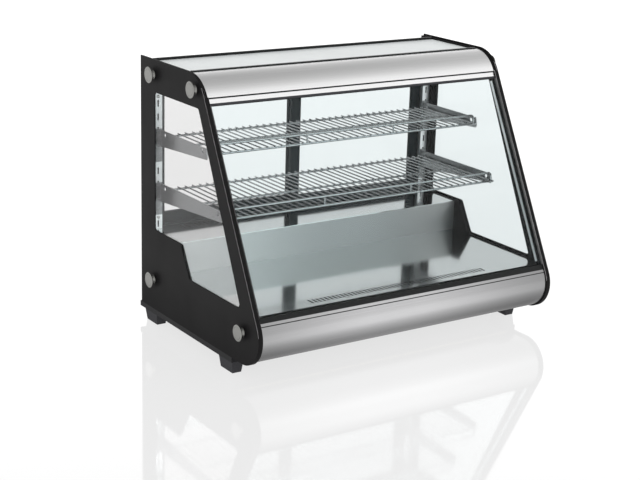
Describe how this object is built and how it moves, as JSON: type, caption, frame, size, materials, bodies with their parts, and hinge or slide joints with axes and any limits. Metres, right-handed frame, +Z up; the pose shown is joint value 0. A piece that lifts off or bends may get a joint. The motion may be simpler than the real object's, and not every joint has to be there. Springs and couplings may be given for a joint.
{
  "type": "hot food display case",
  "caption": "Countertop glass display case with a leaning front, black side panels, wire shelves and rear sliding doors.",
  "frame": {"origin": "on the floor, midway across and midway front to back of the whole case", "axes": "+X to the right seen from the front, +Y to the rear, +Z up"},
  "size_m": [0.9, 0.584, 0.68],
  "materials": {
    "black_panel": "satin black moulded plastic",
    "dark_pan": "dark grey painted sheet",
    "rubber_black": "matte black rubber",
    "steel_bright": "plain steel screws",
    "clear_glass": "clear float glass with a faint green edge",
    "cap_silver": "turned satin steel",
    "strip_black": "black plastic strip",
    "strip_silver": "pale anodised strip",
    "brushed_skin": "aluminium brushed along its length",
    "pale_sheet": "pale satin sheet",
    "polished_deck": "stainless steel polished to a mirror",
    "satin_step": "satin stainless steel",
    "foam_cream": "cream rigid foam",
    "pilaster_silver": "satin silver channel",
    "zinc_bracket": "galvanised sheet",
    "wire_chrome": "bright plated wire",
    "door_dark": "dark blue-grey plastic frame",
    "glide_white": "white nylon",
    "rear_grey": "light grey painted sheet",
    "control_black": "black plastic",
    "switch_red": "red gloss plastic",
    "lamp_white": "white painted channel",
    "lamp_opal": "opal diffuser",
    "compressor_black": "black painted steel can",
    "coil_aluminium": "plain aluminium fins",
    "fan_black": "black plastic",
    "pipe_copper": "copper tube"
  },
  "bodies": {
    "case": {"base_pan": "dark_pan", "foot_front_left": "rubber_black", "foot_front_right": "rubber_black", "foot_rear_left": "rubber_black", "foot_rear_right": "rubber_black", "foot_screws": "steel_bright", "left_side_panel": "black_panel", "right_side_panel": "black_panel", "left_side_glass": "clear_glass", "right_side_glass": "clear_glass", "left_panel_caps": "cap_silver", "right_panel_caps": "cap_silver", "front_glass": "clear_glass", "front_glass_upper_seal": "rubber_black", "front_glass_sill": "strip_black", "front_glass_side_strips": "strip_silver", "canopy": "brushed_skin", "top_sheet": "pale_sheet", "top_trim": "strip_black", "fascia": "brushed_skin", "deck": "polished_deck", "step_front": "satin_step", "step_top": "polished_deck", "insulation": "foam_cream", "left_pilaster": "pilaster_silver", "right_pilaster": "pilaster_silver", "panel_screws": "steel_bright", "upper_left_bracket": "zinc_bracket", "upper_right_bracket": "zinc_bracket", "lower_left_bracket": "zinc_bracket", "lower_right_bracket": "zinc_bracket", "door_header": "door_dark", "door_sill": "door_dark", "rear_panel": "rear_grey", "control_plate": "control_black", "cord_gland": "control_black", "lamp_housing": "lamp_white", "lamp_diffuser": "lamp_opal", "compressor": "compressor_black", "compressor_grommets": "rubber_black", "condenser": "coil_aluminium", "condenser_fan_motor": "fan_black", "evaporator": "coil_aluminium", "evaporator_fan_motor": "fan_black", "refrigerant_pipes": "pipe_copper"},
    "left_door": {"left_door_frame": "door_dark", "left_door_glass": "clear_glass", "left_door_glides": "glide_white"},
    "right_door": {"right_door_frame": "door_dark", "right_door_glass": "clear_glass", "right_door_glides": "glide_white"},
    "upper_shelf_set": {"upper_shelf": "wire_chrome", "upper_shelf_rail": "wire_chrome"},
    "lower_shelf_set": {"lower_shelf": "wire_chrome", "lower_shelf_rail": "wire_chrome"},
    "condenser_fan": {"condenser_fan": "fan_black"},
    "evaporator_fan": {"evaporator_fan": "fan_black"},
    "thermostat_knob": {"thermostat_knob": "control_black"},
    "light_switch": {"light_switch": "switch_red"}
  },
  "joints": [
    {"name": "left_door_slide", "type": "slide", "parent": "case", "child": "left_door", "axis": [1, 0, 0], "range_m": [0, 0.4]},
    {"name": "right_door_slide", "type": "slide", "parent": "case", "child": "right_door", "axis": [1, 0, 0], "range_m": [-0.4, 0]},
    {"name": "upper_shelf_lift", "type": "slide", "parent": "case", "child": "upper_shelf_set", "axis": [0, 0, 1], "range_m": [0, 0.06]},
    {"name": "lower_shelf_lift", "type": "slide", "parent": "case", "child": "lower_shelf_set", "axis": [0, 0, 1], "range_m": [0, 0.06]},
    {"name": "condenser_fan_spin", "type": "hinge", "parent": "case", "child": "condenser_fan", "pos_m": [0.26, 0.2235, 0.1215], "axis": [0, 1, 0], "continuous": true},
    {"name": "evaporator_fan_spin", "type": "hinge", "parent": "case", "child": "evaporator_fan", "pos_m": [-0.06, 0.074, 0.118], "axis": [0, 1, 0], "continuous": true},
    {"name": "thermostat_turn", "type": "hinge", "parent": "case", "child": "thermostat_knob", "pos_m": [-0.332, 0.2745, 0.14], "axis": [0, -1, 0], "range_deg": [-135, 135]},
    {"name": "light_switch_rock", "type": "hinge", "parent": "case", "child": "light_switch", "pos_m": [-0.268, 0.275, 0.14], "axis": [1, 0, 0], "range_deg": [0, 16]}
  ]
}
